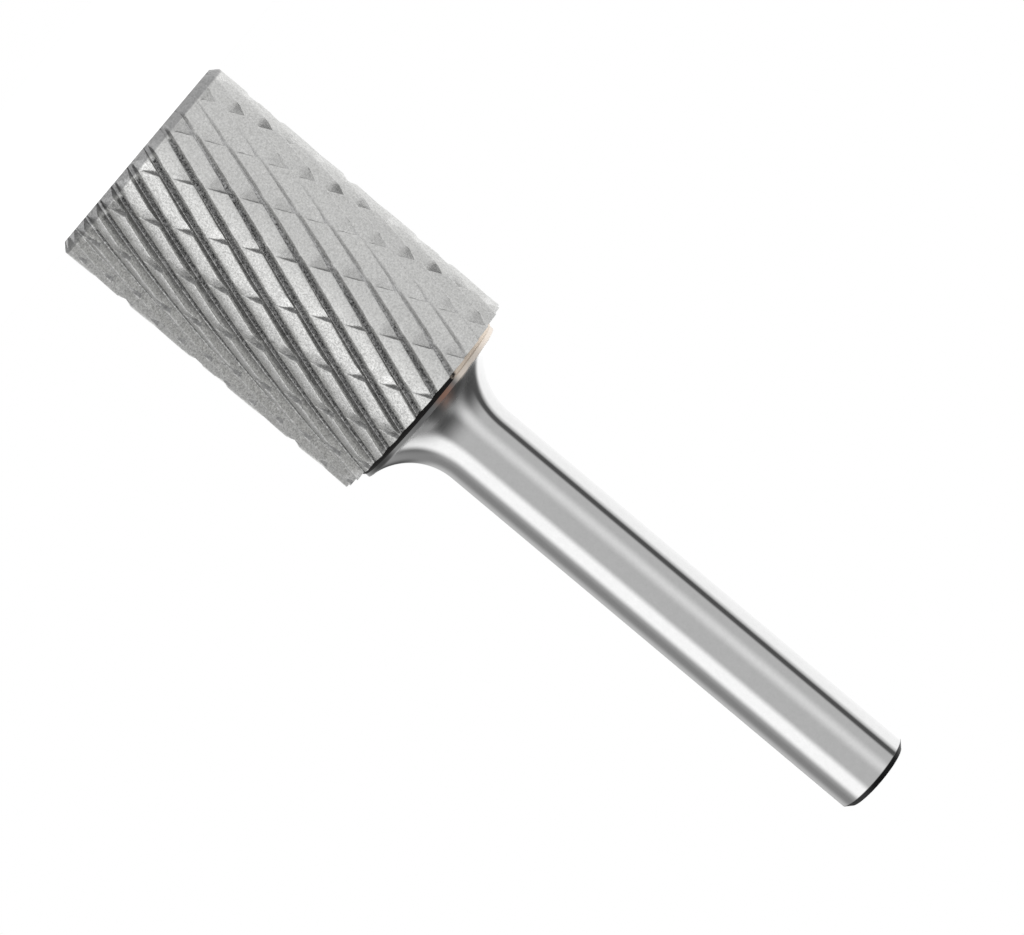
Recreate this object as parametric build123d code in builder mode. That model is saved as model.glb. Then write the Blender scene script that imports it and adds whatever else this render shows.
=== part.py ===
from build123d import *
import math
import os

# Cylindrical double-cut carbide burr with a plain flat nose, for hand grinders.
# Millimetres. The burr stands on its nose: the nose face lies on Z = 0, the
# turning axis is +Z and the shank points up. Seen from the shank end the burr
# cuts turning clockwise, so every cutting face looks towards falling angles.

# ---- head envelope --------------------------------------------------------
head_d = 16.0               # cutting diameter over the tooth crests
head_len = 25.0             # length of the carbide head
nose_chamfer = 0.5          # 45 degree chamfer around the flat nose

# ---- main flutes (right-hand helix) ---------------------------------------
flute_count = 28
flute_helix = 20.4          # helix angle at the crests, degrees from the axis
flute_depth = 0.68          # crest to gullet floor
flute_phase = 8.4           # angle of one crest at the nose face, degrees
land_w = 0.04               # ground flat left on each crest
back_share = 0.62           # share of the tooth pitch taken by the long back face
back_drop = 0.46            # fall of the back face over that share
gullet_share = 0.76         # share of the pitch where the gullet floor starts
rake_lean = 10.0            # cutting face, degrees off radial

# ---- chip breakers (left-hand helix, every one crosses all the teeth) ------
breaker_count = 14
breaker_helix = 25.7        # helix angle at the crests, degrees from the axis
breaker_depth = 0.38
breaker_phase = 19.4        # angle of one breaker root at the nose face, degrees
breaker_ramp_w = 0.78       # long wall, measured square to the breaker
breaker_wall_w = 0.14       # short steep wall

# ---- brazed joint ----------------------------------------------------------
braze_t = 0.4
braze_proud = 0.1           # the bead stands out past the collar, all round
braze_edge = 0.1            # broken outer edges of the solder bead

# ---- steel shank -----------------------------------------------------------
shank_d = 6.0
shank_len = 40.0            # steel measured from the braze to the tail end
collar_d = 13.0             # widest part of the flare, against the braze
flare_r = 4.5               # concave radius from the collar into the shank
tail_chamfer = 0.4          # chamfer at the free end of the shank

# ---- derived sizes ---------------------------------------------------------
head_r = head_d / 2
shank_r = shank_d / 2
collar_r = collar_d / 2
pitch_deg = 360 / flute_count
pitch_arc = math.radians(pitch_deg) * head_r
braze_d = collar_d + 2 * braze_proud
braze_z = head_len
shank_z0 = braze_z + braze_t
shank_z1 = shank_z0 + shank_len
flare_c_r = shank_r + flare_r                       # centre of the flare arc
flare_rise = math.sqrt(flare_r**2 - (flare_c_r - collar_r) ** 2)
collar_lip = 0.3                                    # straight rim of the collar
collar_z = shank_z0 + collar_lip
flare_z = collar_z + flare_rise                     # where the shank runs straight
flare_mid = math.radians(180 + math.degrees(math.acos((flare_c_r - collar_r) / flare_r)) / 2)
run_out = 0.6                                       # cutters run past both head faces


def polar(radius, degrees):
    """A point given by its distance from the axis and its angle."""
    angle = math.radians(degrees)
    return (radius * math.cos(angle), radius * math.sin(angle))


def helix_pitch(degrees):
    """Axial travel in one turn of a helix of that angle at the crests."""
    return 2 * math.pi * head_r / math.tan(math.radians(degrees))


# ---- carbide head ----------------------------------------------------------
# One tooth, going to rising angle: a narrow land, the long back face falling
# away, a steeper drop to the gullet floor, the floor, and the cutting face that
# climbs to the next crest. The ring of teeth is swept up the axis while it turns.
land_deg = land_w / pitch_arc * pitch_deg
rake_deg = math.tan(math.radians(rake_lean)) * flute_depth / pitch_arc * pitch_deg
tooth = [
    (head_r, 0.0),
    (head_r, land_deg),
    (head_r - back_drop, back_share * pitch_deg),
    (head_r - flute_depth, gullet_share * pitch_deg),
    (head_r - flute_depth, pitch_deg - rake_deg),
]
ring = []
for k in range(flute_count):
    for radius, step in tooth:
        ring.append(polar(radius, flute_phase + k * pitch_deg + step))

# One breaker cutter: a lopsided V whose steep wall looks towards falling angle.
slant = math.cos(math.radians(breaker_helix))
over = 0.4
root_r = head_r - breaker_depth
reach = (breaker_depth + over) / breaker_depth
breaker = [
    (root_r, 0.0),
    (head_r + over, breaker_wall_w / slant * reach),
    (head_r + over, -breaker_ramp_w / slant * reach),
]

with BuildPart() as breaker_cutter:
    with BuildSketch(Plane.XY.offset(-run_out)) as breaker_face:
        with BuildLine():
            Polyline(*breaker, close=True)
        make_face()
    cut_len = head_len + 2 * run_out
    cutter = Solid.extrude_linear_with_rotation(
        breaker_face.sketch.faces()[0],
        center=(0, 0, -run_out),
        normal=(0, 0, cut_len),
        angle=-360 * cut_len / helix_pitch(breaker_helix),
    )
    add(cutter)

with BuildPart() as nose_cutter:
    with BuildSketch(Plane.XZ):
        with BuildLine():
            Polyline(
                (head_r - nose_chamfer - over, -over),
                (head_r + over, -over),
                (head_r + over, nose_chamfer + over),
                close=True,
            )
        make_face()
    revolve(axis=Axis.Z)

start_turn = breaker_phase + 360 * run_out / helix_pitch(breaker_helix)
cutters = [nose_cutter.part]
for k in range(breaker_count):
    cutters.append(breaker_cutter.part.rotate(Axis.Z, start_turn + k * 360 / breaker_count))

with BuildPart() as carbide_head:
    with BuildSketch(Plane.XY) as tooth_ring:
        with BuildLine():
            Polyline(*ring, close=True)
        make_face()
    toothed = Solid.extrude_linear_with_rotation(
        tooth_ring.sketch.faces()[0],
        center=(0, 0, 0),
        normal=(0, 0, head_len),
        angle=360 * head_len / helix_pitch(flute_helix),
    )
    add(toothed)
    add(cutters, mode=Mode.SUBTRACT)
carbide_head.part.label = "carbide_head"

# ---- braze joint -----------------------------------------------------------
# The thin copper-based layer between the carbide and the steel.
with BuildPart() as braze_joint:
    with BuildSketch(Plane.XY.offset(braze_z)):
        Circle(braze_d / 2)
    extrude(amount=braze_t)
    chamfer(braze_joint.edges().filter_by(GeomType.CIRCLE), braze_edge)
braze_joint.part.label = "braze_joint"

# ---- steel shank -----------------------------------------------------------
# Turned in one piece: collar, concave flare, straight shank, chamfered tail.
with BuildPart() as steel_shank:
    with BuildSketch(Plane.XZ):
        with BuildLine():
            Line((0, shank_z0), (collar_r, shank_z0))
            Line((collar_r, shank_z0), (collar_r, collar_z))
            ThreePointArc(
                (collar_r, collar_z),
                (flare_c_r + flare_r * math.cos(flare_mid), flare_z + flare_r * math.sin(flare_mid)),
                (shank_r, flare_z),
            )
            Line((shank_r, flare_z), (shank_r, shank_z1))
            Line((shank_r, shank_z1), (0, shank_z1))
            Line((0, shank_z1), (0, shank_z0))
        make_face()
    revolve(axis=Axis.Z)
    chamfer(steel_shank.edges().group_by(Axis.Z)[-1], tail_chamfer)
steel_shank.part.label = "steel_shank"

os.makedirs("parts", exist_ok=True)
export_step(carbide_head.part, "parts/carbide_head.step")
export_step(braze_joint.part, "parts/braze_joint.step")
export_step(steel_shank.part, "parts/steel_shank.step")
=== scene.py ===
# %% [markdown]
# # A cylindrical carbide burr, dressed for a product picture
#
# The burr stands on its flat nose, and +Z runs up the turning axis to the free end of the shank. Three solids come
# from the frame: the toothed carbide head, the thin braze layer and the steel shank. This lesson gives the head a
# finer ground surface, gives all three their finish, and lights them the way a small bright tool is usually shown:
# on white, with a room around it that the steel can mirror.

# %%
# 1. Load the frame
import math

import bpy
import numpy as np
from mathutils import Matrix, Vector


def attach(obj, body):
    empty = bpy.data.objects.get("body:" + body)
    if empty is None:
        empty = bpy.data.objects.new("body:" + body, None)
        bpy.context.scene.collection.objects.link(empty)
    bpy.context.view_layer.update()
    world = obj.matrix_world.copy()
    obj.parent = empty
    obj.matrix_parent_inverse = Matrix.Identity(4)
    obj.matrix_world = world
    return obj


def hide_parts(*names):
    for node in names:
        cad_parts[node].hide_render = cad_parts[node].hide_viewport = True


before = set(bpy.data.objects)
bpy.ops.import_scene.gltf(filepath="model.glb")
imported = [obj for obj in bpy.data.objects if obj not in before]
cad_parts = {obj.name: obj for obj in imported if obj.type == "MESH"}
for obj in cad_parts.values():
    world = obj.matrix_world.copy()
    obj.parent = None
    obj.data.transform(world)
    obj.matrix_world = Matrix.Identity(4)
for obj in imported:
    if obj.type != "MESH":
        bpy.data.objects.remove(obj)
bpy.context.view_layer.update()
print("nodes:", sorted(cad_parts))

# %% [markdown]
# ## Sizes
#
# These are the head's own sizes, repeated from the solid it replaces. Lengths are in millimetres and angles in
# degrees, and they are turned into metres and radians only where a mesh is made.
#
# The wheel that grinds the flutes climbs right-handed and the one that cuts the chip breakers climbs left-handed, so
# the two helices cross. One turn per millimetre of height follows from the helix angle at the crests:
#
#     turn = tan(helix) / radius

# %%
# 2. The head's sizes
MM = 0.001
HEAD_R = 8.0
HEAD_LEN = 25.0
NOSE_CHAMFER = 0.5
FLUTES = 28
FLUTE_HELIX = 20.4
FLUTE_DEPTH = 0.68
FLUTE_PHASE = 8.4
BACK_SHARE = 0.62
BACK_DROP = 0.46
GULLET_SHARE = 0.76
RAKE_LEAN = 10.0
BREAKERS = 14
BREAKER_HELIX = 25.7
BREAKER_DEPTH = 0.38
BREAKER_PHASE = 19.4
BREAKER_RAMP = 0.78
BREAKER_WALL = 0.14

PITCH = 360 / FLUTES
PITCH_MM = math.radians(PITCH) * HEAD_R
BREAKER_STEP = 360 / BREAKERS
FLUTE_TURN = math.degrees(math.tan(math.radians(FLUTE_HELIX)) / HEAD_R)
BREAKER_TURN = math.degrees(math.tan(math.radians(BREAKER_HELIX)) / HEAD_R)
print("tooth pitch, mm:", round(PITCH_MM, 3))
print("turn of flutes and breakers, degrees per mm:", round(FLUTE_TURN, 3), round(BREAKER_TURN, 3))

# %% [markdown]
# ## The toothed surface
#
# Every point of the head is named by two phases instead of a height and an angle. The flute phase p stays the same
# along one flute, and the breaker phase q stays the same along one chip breaker:
#
#     p = angle - FLUTE_TURN * z          q = angle + BREAKER_TURN * z
#
# The radius is the smaller of two profiles, tooth(p) and notch(q), so the columns and rows of the grid lie along the
# ground edges, and each edge stays crisp.

# %%
# 3. Profiles across a flute and across a chip breaker
def tooth_profile():
    """Columns of one tooth: (phase as a share of the pitch, radius). Crest, back face, gullet floor, cutting face.

    The crest and the gullet corners are broken by a few hundredths of a millimetre, as grinding leaves them.
    """
    rake = math.tan(math.radians(RAKE_LEAN)) * FLUTE_DEPTH / PITCH_MM
    floor = HEAD_R - FLUTE_DEPTH
    back = HEAD_R - BACK_DROP
    slope = BACK_DROP / (BACK_SHARE - 0.03)
    return np.array([
        (0.000, HEAD_R - 0.006),
        (0.012, HEAD_R),
        (0.030, HEAD_R - 0.004),
        (0.060, HEAD_R - 0.020),
        (0.200, HEAD_R - slope * 0.170),
        (0.400, HEAD_R - slope * 0.370),
        (BACK_SHARE - 0.03, back + 0.025),
        (BACK_SHARE, back),
        (BACK_SHARE + 0.03, back - 0.040),
        (GULLET_SHARE - 0.03, floor + 0.045),
        (GULLET_SHARE, floor + 0.012),
        (GULLET_SHARE + 0.05, floor),
        (1 - rake - 0.04, floor + 0.004),
        (1 - rake - 0.01, floor + 0.030),
        (1 - rake + 0.01, floor + 0.090),
        (1 - rake * 0.5, HEAD_R - FLUTE_DEPTH * 0.5),
        (1 - 0.018, HEAD_R - 0.100),
        (1 - 0.008, HEAD_R - 0.038),
    ])


def notch_profile():
    """Rows of one chip breaker: (phase in degrees from the root, radius). Above HEAD_R it cuts nothing.

    A wall w millimetres wide, measured square to the breaker, spans w / cos(helix) / radius round the head.
    """
    slant = math.cos(math.radians(BREAKER_HELIX))
    wall = math.degrees(BREAKER_WALL / slant / HEAD_R)
    ramp = math.degrees(BREAKER_RAMP / slant / HEAD_R)
    root = HEAD_R - BREAKER_DEPTH
    free = BREAKER_STEP - wall - ramp
    down = [(-ramp * (1 - k), HEAD_R - BREAKER_DEPTH * k) for k in (-0.10, 0.0, 0.2, 0.4, 0.6, 0.8)]
    turn = [(-ramp * 0.07, root + 0.022), (0.0, root), (wall * 0.25, root + 0.05)]
    up = [(wall * k, root + BREAKER_DEPTH * k) for k in (0.6, 1.0, 1.12)]
    plain = [(wall + free * k / 11, HEAD_R + 0.3) for k in range(1, 10)]
    return np.array(down + turn + up + plain)


TOOTH = tooth_profile()
NOTCH = notch_profile()
print("columns per tooth:", len(TOOTH), "rows per breaker:", len(NOTCH))


# %% [markdown]
# ### Radius and finish
#
# The same two phases give the radius of any point and the masks of its finish and its painted shade, so a mask always
# follows its edge.

# %%
# 4. Radius and finish at any pair of phases
def periodic(phase, start, period, points):
    """Value of a repeating profile: linear interpolation of points over one period that begins at start."""
    first = points[0, 0]
    local = np.mod(phase - start - first, period) + first
    xs = np.append(points[:, 0], first + period)
    ys = np.append(points[:, 1], points[0, 1])
    return np.interp(local, xs, ys)


def soft_min(a, b, width):
    """The smaller of a and b, with the crease between them rounded over about width."""
    near = np.clip(0.5 + 0.5 * (b - a) / width, 0, 1)
    return b + (a - b) * near - width * near * (1 - near) * 0.5


def smooth_step(x, low, high):
    """0 below low, 1 above high, smooth between: t * t * (3 - 2 t)."""
    t = np.clip((x - low) / (high - low), 0, 1)
    return t * t * (3 - 2 * t)


def tooth_radius(p):
    """Radius of the flute profile at phase p."""
    return periodic(p, FLUTE_PHASE, PITCH, TOOTH * np.array([PITCH, 1.0]))


def notch_radius(q):
    """Radius of the chip breaker profile at phase q."""
    return periodic(q, BREAKER_PHASE, BREAKER_STEP, NOTCH)


def head_radius(p, q, z):
    """r = min(tooth(p), notch(q)), held inside the 45 degree nose chamfer."""
    r = soft_min(tooth_radius(p), notch_radius(q), 0.02)
    return np.minimum(r, HEAD_R - NOSE_CHAMFER + z)


def head_finish(p, q):
    """Masks from 0 to 1 for the finish, the painted shade and the painted highlight of each point.

    gullet: deep between two teeth, painted shade and a rougher surface; wall: the short wall of a chip breaker,
    painted shade too; ramp: its long wall, a painted highlight.
    """
    share = np.mod((p - FLUTE_PHASE) / PITCH, 1)
    gullet = smooth_step(share, BACK_SHARE + 0.02, GULLET_SHARE) * (1 - smooth_step(share, 0.885, 0.93))
    cut = smooth_step(tooth_radius(p) - notch_radius(q), -0.01, 0.02)
    side = np.mod(q - BREAKER_PHASE + BREAKER_STEP / 2, BREAKER_STEP) - BREAKER_STEP / 2
    wall = cut * smooth_step(side, -0.35, 0.05)
    return {"gullet": gullet, "wall": wall, "ramp": cut - wall}


# %% [markdown]
# ### The grid
#
# Level rows carry the nose chamfer. Above it the rows climb along the breakers, and the columns always climb along
# the flutes.

# %%
# 5. The grid of phases
BAND = 0.8


def head_grid():
    """Flute phase and height of every grid point: level rows up to BAND for the chamfer, then rows along the breakers.

    On a slanted row the height follows from the two phases: z = (q - p) / (FLUTE_TURN + BREAKER_TURN).
    """
    cols = np.array([FLUTE_PHASE + (k + s) * PITCH for k in range(FLUTES) for s in TOOTH[:, 0]])
    cols = np.append(cols, cols[0] + 360)
    turn = FLUTE_TURN + BREAKER_TURN
    low = math.floor((cols.min() - BREAKER_PHASE) / BREAKER_STEP) - 1
    high = math.ceil((cols.max() + turn * HEAD_LEN - BREAKER_PHASE) / BREAKER_STEP) + 1
    rows = np.array([BREAKER_PHASE + k * BREAKER_STEP + s for k in range(low, high) for s in NOTCH[:, 0]])
    p, q = np.meshgrid(cols, rows)
    z = (q - p) / turn
    z = np.where(z < BAND + 0.02, BAND, z)
    z = np.where(z > HEAD_LEN - 0.02, HEAD_LEN, z)
    level_p, level_z = np.meshgrid(cols, np.arange(0, BAND - 0.01, 0.05))
    return np.vstack([level_p, p]), np.vstack([level_z, z])


def ring_points(radius, angle_deg, z):
    """Points at a radius, an angle round the axis and a height: (r cos a, r sin a, z)."""
    a = np.radians(angle_deg)
    return np.stack([radius * np.cos(a), radius * np.sin(a), z], axis=-1)


p, z = head_grid()
angle = p + FLUTE_TURN * z
q = angle + BREAKER_TURN * z
r = head_radius(p, q, z)
finish = head_finish(p, q)
print("grid of the head:", p.shape)

# %% [markdown]
# ## From a grid to a closed piece
#
# A grid whose first and last rows have radius 0 closes both ends, and its last column falls on its first. Points that
# coincide become one vertex, and a quad that has lost a corner becomes a triangle.

# %%
# 6. The ground head
SMOOTH_DEG = 32


def make_piece(name, node, grid, masks):
    """A closed piece from a grid of millimetre points, shown in place of a node. Masks become point attributes."""
    flat = grid.reshape(-1, 3)
    _, first, inverse = np.unique(np.round(flat, 4), axis=0, return_index=True, return_inverse=True)
    index = inverse.reshape(grid.shape[:2])
    corners = np.stack([index[:-1, :-1], index[:-1, 1:], index[1:, 1:], index[1:, :-1]], axis=-1).reshape(-1, 4)
    loops = [[v for i, v in enumerate(quad) if v != quad[i - 1]] for quad in corners.tolist()]
    mesh = bpy.data.meshes.new(name)
    mesh.from_pydata((flat[first] * MM).tolist(), [], [loop for loop in loops if len(set(loop)) >= 3])
    mesh.update()
    mesh.shade_smooth()
    mesh.set_sharp_from_angle(angle=math.radians(SMOOTH_DEG))
    for label, mask in masks.items():
        layer = mesh.attributes.new(label, "FLOAT", "POINT")
        layer.data.foreach_set("value", mask.reshape(-1)[first].astype(np.float32))
    obj = bpy.data.objects.new(name, mesh)
    bpy.context.scene.collection.objects.link(obj)
    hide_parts(node)
    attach(obj, "root")
    print(name, "vertices:", len(mesh.vertices), "faces:", len(mesh.polygons))
    return obj


def with_ends(grid):
    """The grid with a row on the axis below and above it."""
    low, high = grid[:1] * [0, 0, 1], grid[-1:] * [0, 0, 1]
    return np.vstack([low, grid, high])


def end_rows(mask):
    """A mask with its first and last rows repeated, for the rows that with_ends adds."""
    return np.vstack([mask[:1], mask, mask[-1:]])


head = make_piece("ground_head", "carbide_head", with_ends(ring_points(r, angle, z)),
                  {name: end_rows(mask) for name, mask in finish.items()})

# %% [markdown]
# ## The turned parts
#
# The shank and the braze are bodies of revolution. A mirror shows every facet, so both are turned finely here. The
# flare is an arc of radius FLARE_R that meets the straight shank smoothly:
#
#     radius = SHANK_R + FLARE_R (1 - cos b),   z = FLARE_Z - FLARE_R sin b

# %%
# 7. Shank and braze
SHANK_R = 3.0
COLLAR_R = 6.5
FLARE_R = 4.5
COLLAR_LIP = 0.3
BRAZE_T = 0.4
BRAZE_R = 6.6
BRAZE_EDGE = 0.1
TAIL_CHAMFER = 0.4
TOP = 65.4

JOINT_Z = HEAD_LEN + BRAZE_T
ARC_END = math.acos(1 - (COLLAR_R - SHANK_R) / FLARE_R)
FLARE_Z = JOINT_Z + COLLAR_LIP + FLARE_R * math.sin(ARC_END)


def turned(name, node, profile):
    """A body of revolution about Z from (radius, z) points that run upwards along its outside."""
    rows = np.array(profile)
    radius, around = np.meshgrid(rows[:, 0], np.linspace(0, 360, 289), indexing="ij")
    height = np.repeat(rows[:, 1:], around.shape[1], axis=1)
    return make_piece(name, node, with_ends(ring_points(radius, around, height)), {})


arc = [(SHANK_R + FLARE_R * (1 - math.cos(b)), FLARE_Z - FLARE_R * math.sin(b)) for b in np.linspace(ARC_END, 0, 61)]
shank = turned("turned_shank", "steel_shank", [(COLLAR_R, JOINT_Z)] + arc + [
    (SHANK_R, (FLARE_Z + TOP) / 2),
    (SHANK_R, TOP - TAIL_CHAMFER),
    (SHANK_R - TAIL_CHAMFER, TOP),
])
joint = turned("braze_ring", "braze_joint", [
    (BRAZE_R - BRAZE_EDGE, HEAD_LEN),
    (BRAZE_R, HEAD_LEN + BRAZE_EDGE),
    (BRAZE_R, JOINT_Z - BRAZE_EDGE),
    (BRAZE_R - BRAZE_EDGE, JOINT_Z),
])
print("flare meets the shank at z, mm:", round(FLARE_Z, 3))

# %% [markdown]
# ## Finishes
#
# Two effects are shared. Grain is the fine mottle of sintered carbide and of a ground surface: two layers of noise,
# one three times finer than the other. Ring marks are what turning and centreless grinding leave: noise that is
# stretched round the axis, so it changes fast along Z and slowly round it.

# %%
# 8. Node helpers and the two shared groups
def link(tree, value, socket):
    """Set a socket from a number or colour, or link it from another socket."""
    if isinstance(value, bpy.types.NodeSocket):
        tree.links.new(value, socket)
    else:
        socket.default_value = value


def math_node(tree, op, *values, clamp=False):
    """One Math node; each value is a number or a socket."""
    node = tree.nodes.new("ShaderNodeMath")
    node.operation = op
    node.use_clamp = clamp
    for socket, value in zip(node.inputs, values):
        link(tree, value, socket)
    return node.outputs[0]


def fade(tree, value, start, end):
    """0 where value is at start, 1 where it is at end, smooth between."""
    node = tree.nodes.new("ShaderNodeMapRange")
    node.interpolation_type = "SMOOTHSTEP"
    link(tree, value, node.inputs["Value"])
    node.inputs["From Min"].default_value = start
    node.inputs["From Max"].default_value = end
    return node.outputs[0]


def mix(tree, kind, a, b, factor):
    """a where factor is 0 and b where it is 1, for numbers (kind FLOAT) or colours (kind RGBA)."""
    node = tree.nodes.new("ShaderNodeMix")
    node.data_type = kind
    first_socket = 2 if kind == "FLOAT" else 6
    link(tree, factor, node.inputs[0])
    link(tree, a, node.inputs[first_socket])
    link(tree, b, node.inputs[first_socket + 1])
    return node.outputs[0 if kind == "FLOAT" else 2]


def noise(tree, vector, scale, detail, rough=0.5):
    """A 3-D noise texture, from 0 to 1."""
    node = tree.nodes.new("ShaderNodeTexNoise")
    link(tree, vector, node.inputs["Vector"])
    link(tree, scale, node.inputs["Scale"])
    node.inputs["Detail"].default_value = detail
    node.inputs["Roughness"].default_value = rough
    return node.outputs["Fac"]


def new_group(name, inputs, outputs):
    """An empty shader group with its input and output nodes; inputs is a list of (name, type, default)."""
    tree = bpy.data.node_groups.new(name, "ShaderNodeTree")
    for label, kind, default in inputs:
        socket = tree.interface.new_socket(name=label, in_out="INPUT", socket_type=kind)
        if default is not None:
            socket.default_value = default
    for label in outputs:
        tree.interface.new_socket(name=label, in_out="OUTPUT", socket_type="NodeSocketFloat")
    return tree, tree.nodes.new("NodeGroupInput").outputs, tree.nodes.new("NodeGroupOutput").inputs


def make_grain():
    """Mottle: 1 + 4 Amount (height - 1/2), never below 0.05; Height: coarse and fine noise, from 0 to 1."""
    sockets = [("Vector", "NodeSocketVector", None), ("Scale", "NodeSocketFloat", 9000.0),
               ("Amount", "NodeSocketFloat", 0.2)]
    tree, given, result = new_group("grain", sockets, ["Mottle", "Height"])
    coarse = noise(tree, given["Vector"], given["Scale"], 2.0, 0.6)
    fine = noise(tree, given["Vector"], math_node(tree, "MULTIPLY", given["Scale"], 3.0), 1.0)
    height = math_node(tree, "MULTIPLY_ADD", math_node(tree, "SUBTRACT", fine, coarse), 0.4, coarse)
    swing = math_node(tree, "MULTIPLY", math_node(tree, "SUBTRACT", height, 0.5), 4.0)
    mottle = math_node(tree, "MULTIPLY_ADD", swing, given["Amount"], 1.0)
    link(tree, math_node(tree, "MAXIMUM", mottle, 0.05), result["Mottle"])
    link(tree, height, result["Height"])
    return tree


def make_rings():
    """Marks round the axis: noise of (x / 60, y / 60, z), so that it is stretched 60 times round the part."""
    sockets = [("Vector", "NodeSocketVector", None), ("Scale", "NodeSocketFloat", 12000.0)]
    tree, given, result = new_group("ring_marks", sockets, ["Height"])
    squash = tree.nodes.new("ShaderNodeVectorMath")
    squash.operation = "MULTIPLY"
    squash.inputs[1].default_value = (1 / 60, 1 / 60, 1)
    link(tree, given["Vector"], squash.inputs[0])
    link(tree, noise(tree, squash.outputs[0], given["Scale"], 3.0, 0.7), result["Height"])
    return tree


GRAIN = make_grain()
RINGS = make_rings()
print("groups:", GRAIN.name, RINGS.name)


# %% [markdown]
# ### Helpers for the materials
#
# Each material starts from Object coordinates in metres. Marks on one side of the part are placed by their bearing
# round the axis, so they turn with it.

# %%
# 9. Small parts of a material
def new_material(name):
    """A material: its node tree, its Principled shader and its Object coordinates in metres."""
    mat = bpy.data.materials.new(name)
    mat.use_nodes = True
    tree = mat.node_tree
    coords = tree.nodes.new("ShaderNodeTexCoord").outputs["Object"]
    return mat, tree, tree.nodes["Principled BSDF"].inputs, coords


def use_group(tree, group, vector, **values):
    """Place a shared group in a material with its own values and give back its outputs."""
    node = tree.nodes.new("ShaderNodeGroup")
    node.node_tree = group
    link(tree, vector, node.inputs["Vector"])
    for name, value in values.items():
        link(tree, value, node.inputs[name])
    return node.outputs


def bump(tree, height, strength, distance):
    """A normal from a height."""
    node = tree.nodes.new("ShaderNodeBump")
    node.inputs["Strength"].default_value = strength
    node.inputs["Distance"].default_value = distance
    link(tree, height, node.inputs["Height"])
    return node.outputs["Normal"]


def tinted(tree, colour, factor):
    """A colour multiplied by a number."""
    node = tree.nodes.new("ShaderNodeVectorMath")
    node.operation = "SCALE"
    link(tree, colour, node.inputs[0])
    link(tree, factor, node.inputs["Scale"])
    return node.outputs[0]


def mask_of(tree, name):
    """A finish mask of the mesh."""
    node = tree.nodes.new("ShaderNodeAttribute")
    node.attribute_name = name
    return node.outputs["Fac"]


def bearing(tree, coords):
    """Height z in metres, and the angle round the axis in degrees, 0 at -Y and growing towards -X."""
    node = tree.nodes.new("ShaderNodeSeparateXYZ")
    link(tree, coords, node.inputs[0])
    x, y, height = node.outputs
    turn = math_node(tree, "ARCTAN2", math_node(tree, "MULTIPLY", x, -1.0), math_node(tree, "MULTIPLY", y, -1.0))
    return height, math_node(tree, "MULTIPLY", turn, 180 / math.pi)


def window(tree, value, low, high, soft):
    """1 between low and high, falling to 0 over soft on both sides."""
    rise = fade(tree, value, low - soft, low + soft)
    fall = fade(tree, value, high - soft, high + soft)
    return math_node(tree, "SUBTRACT", rise, fall, clamp=True)


# %% [markdown]
# ### Carbide
#
# The ground faces are bright and satin. The masks made with the mesh paint shade into the gullets between the teeth
# and into the short walls of the chip breakers, and make both rougher. The long walls are cut by the flat of the
# wheel;
# they are painted lighter, a painted highlight, and are a little smoother. A narrow rim at the nose is painted darker,
# painted shade where the head stands on the floor. On one side of the head the painted shade in the gullets is
# lighter, and on the side below it the grain is coarser.

# %%
# 10. Carbide
BRIGHT = (0.62, 0.62, 0.61, 1)
# Painted highlight: the long walls of the chip breakers are painted lighter than the ground faces.
RAMP_HIGHLIGHT = (0.68, 0.68, 0.67, 1)
# Painted shade: the dark colour of the short walls inside the chip breakers.
WALL_SHADE = (0.26, 0.26, 0.26, 1)
# Painted shade: the dark colour of the gullets between the teeth.
GULLET_SHADE = (0.15, 0.15, 0.15, 1)
# Painted light: the lighter colour of the gullets on one side of the head.
LIT_GULLET = (0.52, 0.52, 0.52, 1)
# Painted shade: the darker rim at the nose, where the head stands on the floor, and the height of its top.
NOSE_SHADE = (0.36, 0.36, 0.36, 1)
NOSE_SHADE_TOP = 0.00075
LIT_GULLET_SIDE = (21.0, 88.0, 12.0)    # bearings where it starts and ends, and its softness, degrees
COARSE_SIDE = (-80.0, 2.0, 14.0)

carbide, tree, shader, coords = new_material("carbide")
height, side = bearing(tree, coords)
wall, ramp = mask_of(tree, "wall"), mask_of(tree, "ramp")
gullet = math_node(tree, "MULTIPLY", mask_of(tree, "gullet"), fade(tree, height, NOSE_SHADE_TOP, NOSE_SHADE_TOP + 0.0004))
# Painted light: between these bearings the painted shade in the gullets is lighter, and they are less rough.
lit_gullets = window(tree, side, *LIT_GULLET_SIDE)
rough_part = math_node(tree, "MULTIPLY", math_node(tree, "MAXIMUM", gullet, wall),
                       math_node(tree, "MULTIPLY_ADD", lit_gullets, -0.5, 1.0))
coarse = mix(tree, "FLOAT", 0.35, 0.7, window(tree, side, *COARSE_SIDE))
pitted = math_node(tree, "MULTIPLY_ADD", lit_gullets, -1.8, 2.2)
grain = use_group(tree, GRAIN, coords, Scale=7500.0, Amount=mix(tree, "FLOAT", coarse, pitted, gullet))
# Painted highlight on the long walls of the chip breakers.
colour = mix(tree, "RGBA", BRIGHT, RAMP_HIGHLIGHT, ramp)
# Painted shade: the short walls of the chip breakers are painted dark.
colour = mix(tree, "RGBA", colour, WALL_SHADE, wall)
# Painted shade: the gullets are painted dark, and lighter on one side.
colour = mix(tree, "RGBA", colour, mix(tree, "RGBA", GULLET_SHADE, LIT_GULLET, lit_gullets), gullet)
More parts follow.
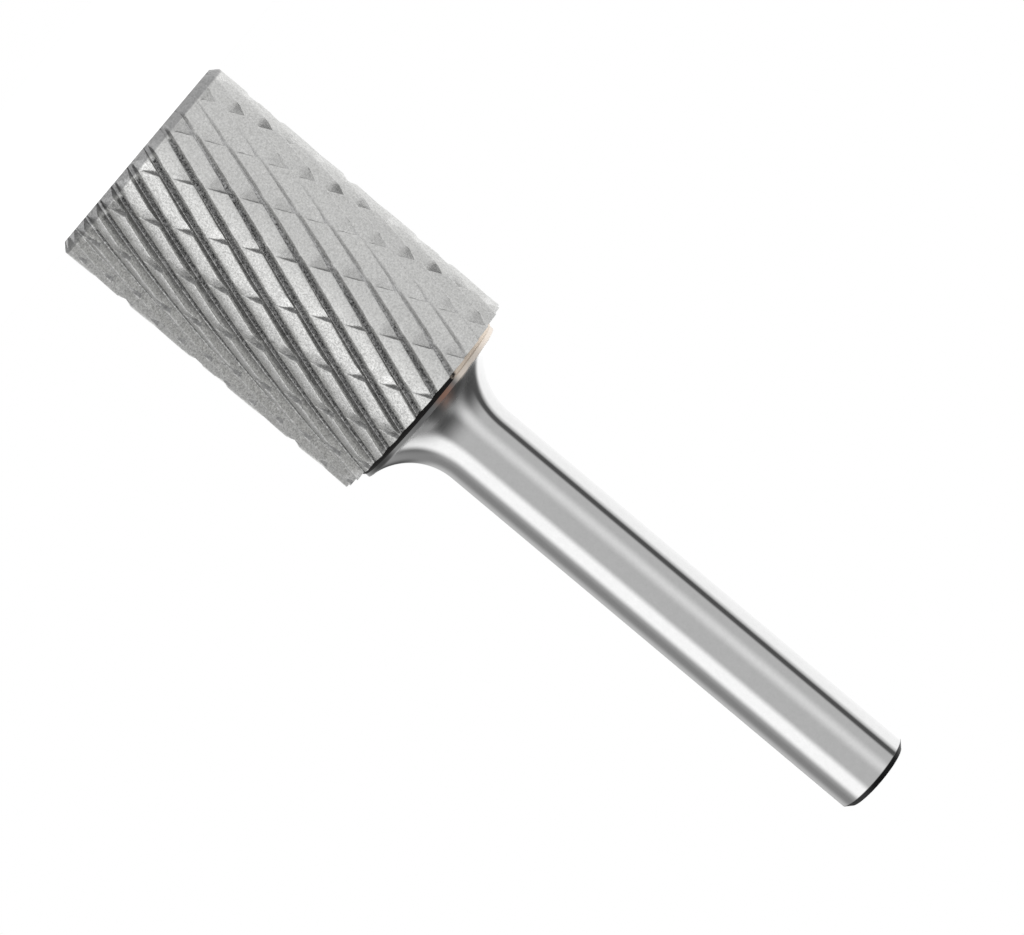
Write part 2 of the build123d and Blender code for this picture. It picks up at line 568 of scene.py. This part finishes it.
# Painted shade: the rim at the nose is painted darker.
nose_shade = fade(tree, height, NOSE_SHADE_TOP, NOSE_SHADE_TOP - 0.00015)
colour = mix(tree, "RGBA", colour, NOSE_SHADE, nose_shade)
link(tree, tinted(tree, colour, grain["Mottle"]), shader["Base Color"])
link(tree, mix(tree, "FLOAT", 1.0, 0.6, rough_part), shader["Metallic"])
satin = mix(tree, "FLOAT", 0.30, 0.26, ramp)
link(tree, mix(tree, "FLOAT", satin, 0.45, rough_part), shader["Roughness"])
link(tree, bump(tree, grain["Height"], 0.35, 0.00003), shader["Normal"])
head.data.materials.append(carbide)

# %% [markdown]
# ### Steel
#
# The shank is a near mirror with faint ring marks. Its chamfered tail is coloured near black.
# At the joint the collar lip is painted dark, painted shade in the gap under the head, and the flare above it is
# painted darker on the side towards the camera, more painted shade. Along one side of the joint runs a cream painted
# highlight, and there is one small copper stain.

# %%
# 11. Steel
STEEL = (0.72, 0.72, 0.72)
TAIL = (0.006, 0.006, 0.007, 1)
# Painted highlight: the cream band along the joint on its lit side.
JOINT_HIGHLIGHT = (0.86, 0.78, 0.70, 1)
STAIN = (0.30, 0.15, 0.10, 1)
# Painted shade: the dark collar lip in the gap under the head.
LIP_SHADE = (0.18, 0.18, 0.18, 1)
TAIL_START = (TOP - TAIL_CHAMFER) * MM
COLLAR_START = JOINT_Z * MM
LIP_END = (JOINT_Z + COLLAR_LIP) * MM
# Top of the painted shade on the flare above the lip.
COLLAR_SHADE_END = LIP_END + 0.0026

steel, tree, shader, coords = new_material("ground_steel")
rings = use_group(tree, RINGS, coords, Scale=9000.0)
grain = use_group(tree, GRAIN, coords, Scale=2500.0, Amount=0.04)
height, side = bearing(tree, coords)
wander = noise(tree, coords, 900.0, 2.0)
lift = math_node(tree, "MULTIPLY_ADD", wander, -0.0005, height)
# Painted highlight: a thin cream band along the joint, on the lit side only.
lit_side = window(tree, side, 21.0, 165.0, 4.0)
# Painted shade: the collar lip next to the braze is painted dark.
lip_shade = fade(tree, height, LIP_END + 0.0001, LIP_END - 0.0001)
joint_highlight = math_node(tree, "MULTIPLY", lit_side, fade(tree, lift, COLLAR_START + 0.0002, COLLAR_START))
spot = math_node(tree, "MULTIPLY", window(tree, side, 3.0, 15.0, 5.0),
                 fade(tree, lift, COLLAR_START + 0.0010, COLLAR_START + 0.0002))
# Painted shade: the flare above the lip is painted darker on the side towards the camera, fading upwards; it is also
# rougher there.
collar_shade = math_node(tree, "MULTIPLY", window(tree, side, -30.0, 36.0, 14.0), fade(tree, height, COLLAR_SHADE_END, LIP_END))
unshaded_share = math_node(tree, "MULTIPLY", grain["Mottle"], math_node(tree, "MULTIPLY_ADD", collar_shade, -0.70, 1.0))
colour = mix(tree, "RGBA", tinted(tree, STEEL, unshaded_share), LIP_SHADE, lip_shade)
colour = mix(tree, "RGBA", colour, JOINT_HIGHLIGHT, joint_highlight)
colour = mix(tree, "RGBA", colour, STAIN, math_node(tree, "MULTIPLY", spot, 0.75))
# The chamfered tail is coloured near black.
tail = fade(tree, height, TAIL_START - 0.00008, TAIL_START)
link(tree, mix(tree, "RGBA", colour, TAIL, tail), shader["Base Color"])
shader["Metallic"].default_value = 1.0
polish = math_node(tree, "MULTIPLY_ADD", rings["Height"], 0.05, 0.055)
polish = math_node(tree, "MULTIPLY_ADD", collar_shade, 0.25, polish)
link(tree, mix(tree, "FLOAT", polish, 0.45, math_node(tree, "MAXIMUM", joint_highlight, tail)), shader["Roughness"])
link(tree, bump(tree, rings["Height"], 0.06, 0.00001), shader["Normal"])
shank.data.materials.append(steel)

# %% [markdown]
# ### Braze
#
# Copper shows along the lit side. The rest is painted near black, painted shade in the gap between head and collar.
# A little noise breaks the line between them.

# %%
# 12. Braze
COPPER = (0.84, 0.73, 0.62, 1)
# Painted shade: the near black on the braze in the gap between head and collar, away from the lit side.
BRAZE_SHADE = (0.012, 0.011, 0.011, 1)

braze, tree, shader, coords = new_material("braze_copper")
grain = use_group(tree, GRAIN, coords, Scale=4000.0, Amount=0.10)
height, side = bearing(tree, coords)
edge = math_node(tree, "MULTIPLY_ADD", math_node(tree, "SUBTRACT", noise(tree, coords, 1500.0, 2.0), 0.5), 12.0, side)
# Copper on the lit side; the rest of the braze is painted shade.
unshaded_share = window(tree, edge, 21.0, 165.0, 1.5)
colour = mix(tree, "RGBA", BRAZE_SHADE, COPPER, unshaded_share)
link(tree, tinted(tree, colour, grain["Mottle"]), shader["Base Color"])
link(tree, mix(tree, "FLOAT", 0.0, 0.9, unshaded_share), shader["Metallic"])
shader["Roughness"].default_value = 0.45
shader["Specular IOR Level"].default_value = 0.1

joint.data.materials.append(braze)
print("materials:", carbide.name, steel.name, braze.name)

# %% [markdown]
# ## Studio
#
# The shank and its flare are mirrors, so what they show is the room. It is a plain photographer's tent with a few
# lights, cards and flags in it. For a mirror seen from direction c, the normal that sends a ray into direction d is
# the half vector:
#
#     h = (d + c) / |d + c|
#
# Each panel is placed by h: its bearing, from -90 to 90 degrees, 0 towards the camera and growing towards -X. A panel
# that keeps its bearing runs as one line along the straight shank and on up the flare. The tent darkens towards its
# ceiling. A second, lower set of panels stands below the horizon, where the backs of the teeth look.

# %%
# 13. The room
TILT = 5.670
TENT, CEILING, TABLE = 0.6, 0.1, 0.9

# Name, bearing where the panel starts and ends, softness of its edges (degrees), brightness
PANELS = [("grey card", -65, -45, 8, 0.3), ("key light", -40, -20, 5, 1.3), ("fill light", 8, 20, 6, 0.9),
          ("black flag", 36, 44, 2, 0.1), ("side light", 48, 95, 4, 1.2)]
LOW_PANELS = [("shade", -95, -60, 12, 0.6), ("low light", -45, -15, 12, 1.2), ("side light", 50, 95, 8, 1.2)]

world = bpy.data.worlds.new("studio")
bpy.context.scene.world = world
world.use_nodes = True
tree = world.node_tree
tree.nodes.clear()
half = tree.nodes.new("ShaderNodeVectorMath")
half.operation = "ADD"
link(tree, tree.nodes.new("ShaderNodeTexCoord").outputs["Generated"], half.inputs[0])
half.inputs[1].default_value = (0, -math.cos(math.radians(TILT)), -math.sin(math.radians(TILT)))
unit = tree.nodes.new("ShaderNodeVectorMath")
unit.operation = "NORMALIZE"
link(tree, half.outputs[0], unit.inputs[0])
rise, side = bearing(tree, unit.outputs[0])


def hang(level, panels):
    """The room's brightness with each panel hung in front of what was there before."""
    for _, start, end, soft, brightness in panels:
        level = mix(tree, "FLOAT", level, brightness, window(tree, side, start, end, soft))
    return level


tent = mix(tree, "FLOAT", TENT, CEILING, fade(tree, rise, 0.25, 0.75))
room = mix(tree, "FLOAT", hang(TABLE, LOW_PANELS), hang(tent, PANELS), fade(tree, rise, -0.12, -0.02))
room = mix(tree, "FLOAT", room, TABLE, fade(tree, rise, -0.30, -0.60))
print(len(PANELS) + len(LOW_PANELS), "panels in the room")
seen = tree.nodes.new("ShaderNodeLightPath").outputs["Is Camera Ray"]
background = tree.nodes.new("ShaderNodeBackground")
background.inputs["Color"].default_value = (1, 1, 1, 1)
link(tree, mix(tree, "FLOAT", room, 1.0, seen), background.inputs["Strength"])
link(tree, background.outputs[0], tree.nodes.new("ShaderNodeOutputWorld").inputs[0])

# %% [markdown]
# The floor is white paper that glows a little, so that it stays white beside the white room and only the contact
# shadow shows. Mirrors don't see it: they see the room, which goes on below the horizon.

# %%
# 14. Floor
bpy.ops.mesh.primitive_plane_add(size=2.4, location=(0, 0, 0))
floor = bpy.context.object
floor.name = "floor"
floor.visible_glossy = False
paper, tree, shader, coords = new_material("floor_paper")
fibre = use_group(tree, GRAIN, coords, Scale=300.0, Amount=0.01)
link(tree, tinted(tree, (0.9, 0.9, 0.9), fibre["Mottle"]), shader["Base Color"])
shader["Roughness"].default_value = 0.9
shader["Emission Color"].default_value = (1, 1, 1, 1)
shader["Emission Strength"].default_value = 0.62
floor.data.materials.append(paper)

# %% [markdown]
# ## Camera
#
# The camera stands a hair above the floor and looks slightly up the burr. It is rolled, so the nose is at the upper
# left of the picture and the shank points down to the right. Its axes come from the view direction:
#
#     up = side x ahead,   right = cos(roll) up - sin(roll) side,   top = -(sin(roll) up + cos(roll) side)

# %%
# 15. Camera
DISTANCE, ROLL = 0.32850, 40.00
LOOK_AT = Vector((-0.000160, 0, 0.032735))
FOCAL_PX = 4870
WIDTH_PX = 1024

cam_data = bpy.data.cameras.new("camera")
camera = bpy.data.objects.new("camera", cam_data)
bpy.context.scene.collection.objects.link(camera)
bpy.context.scene.camera = camera
cam_data.sensor_width = 36
cam_data.lens = FOCAL_PX / WIDTH_PX * cam_data.sensor_width
cam_data.clip_start = 0.01
cam_data.clip_end = 10
tilt, roll = math.radians(TILT), math.radians(ROLL)
ahead = Vector((0, math.cos(tilt), math.sin(tilt)))
side = Vector((1, 0, 0))
up = side.cross(ahead)
right = math.cos(roll) * up - math.sin(roll) * side
top = -(math.sin(roll) * up + math.cos(roll) * side)
camera.matrix_world = Matrix((right, top, -ahead)).transposed().to_4x4()
camera.location = LOOK_AT - DISTANCE * ahead
bpy.context.scene.view_settings.view_transform = "Standard"
print("camera height above the floor, mm:", round(camera.location.z * 1000, 2))
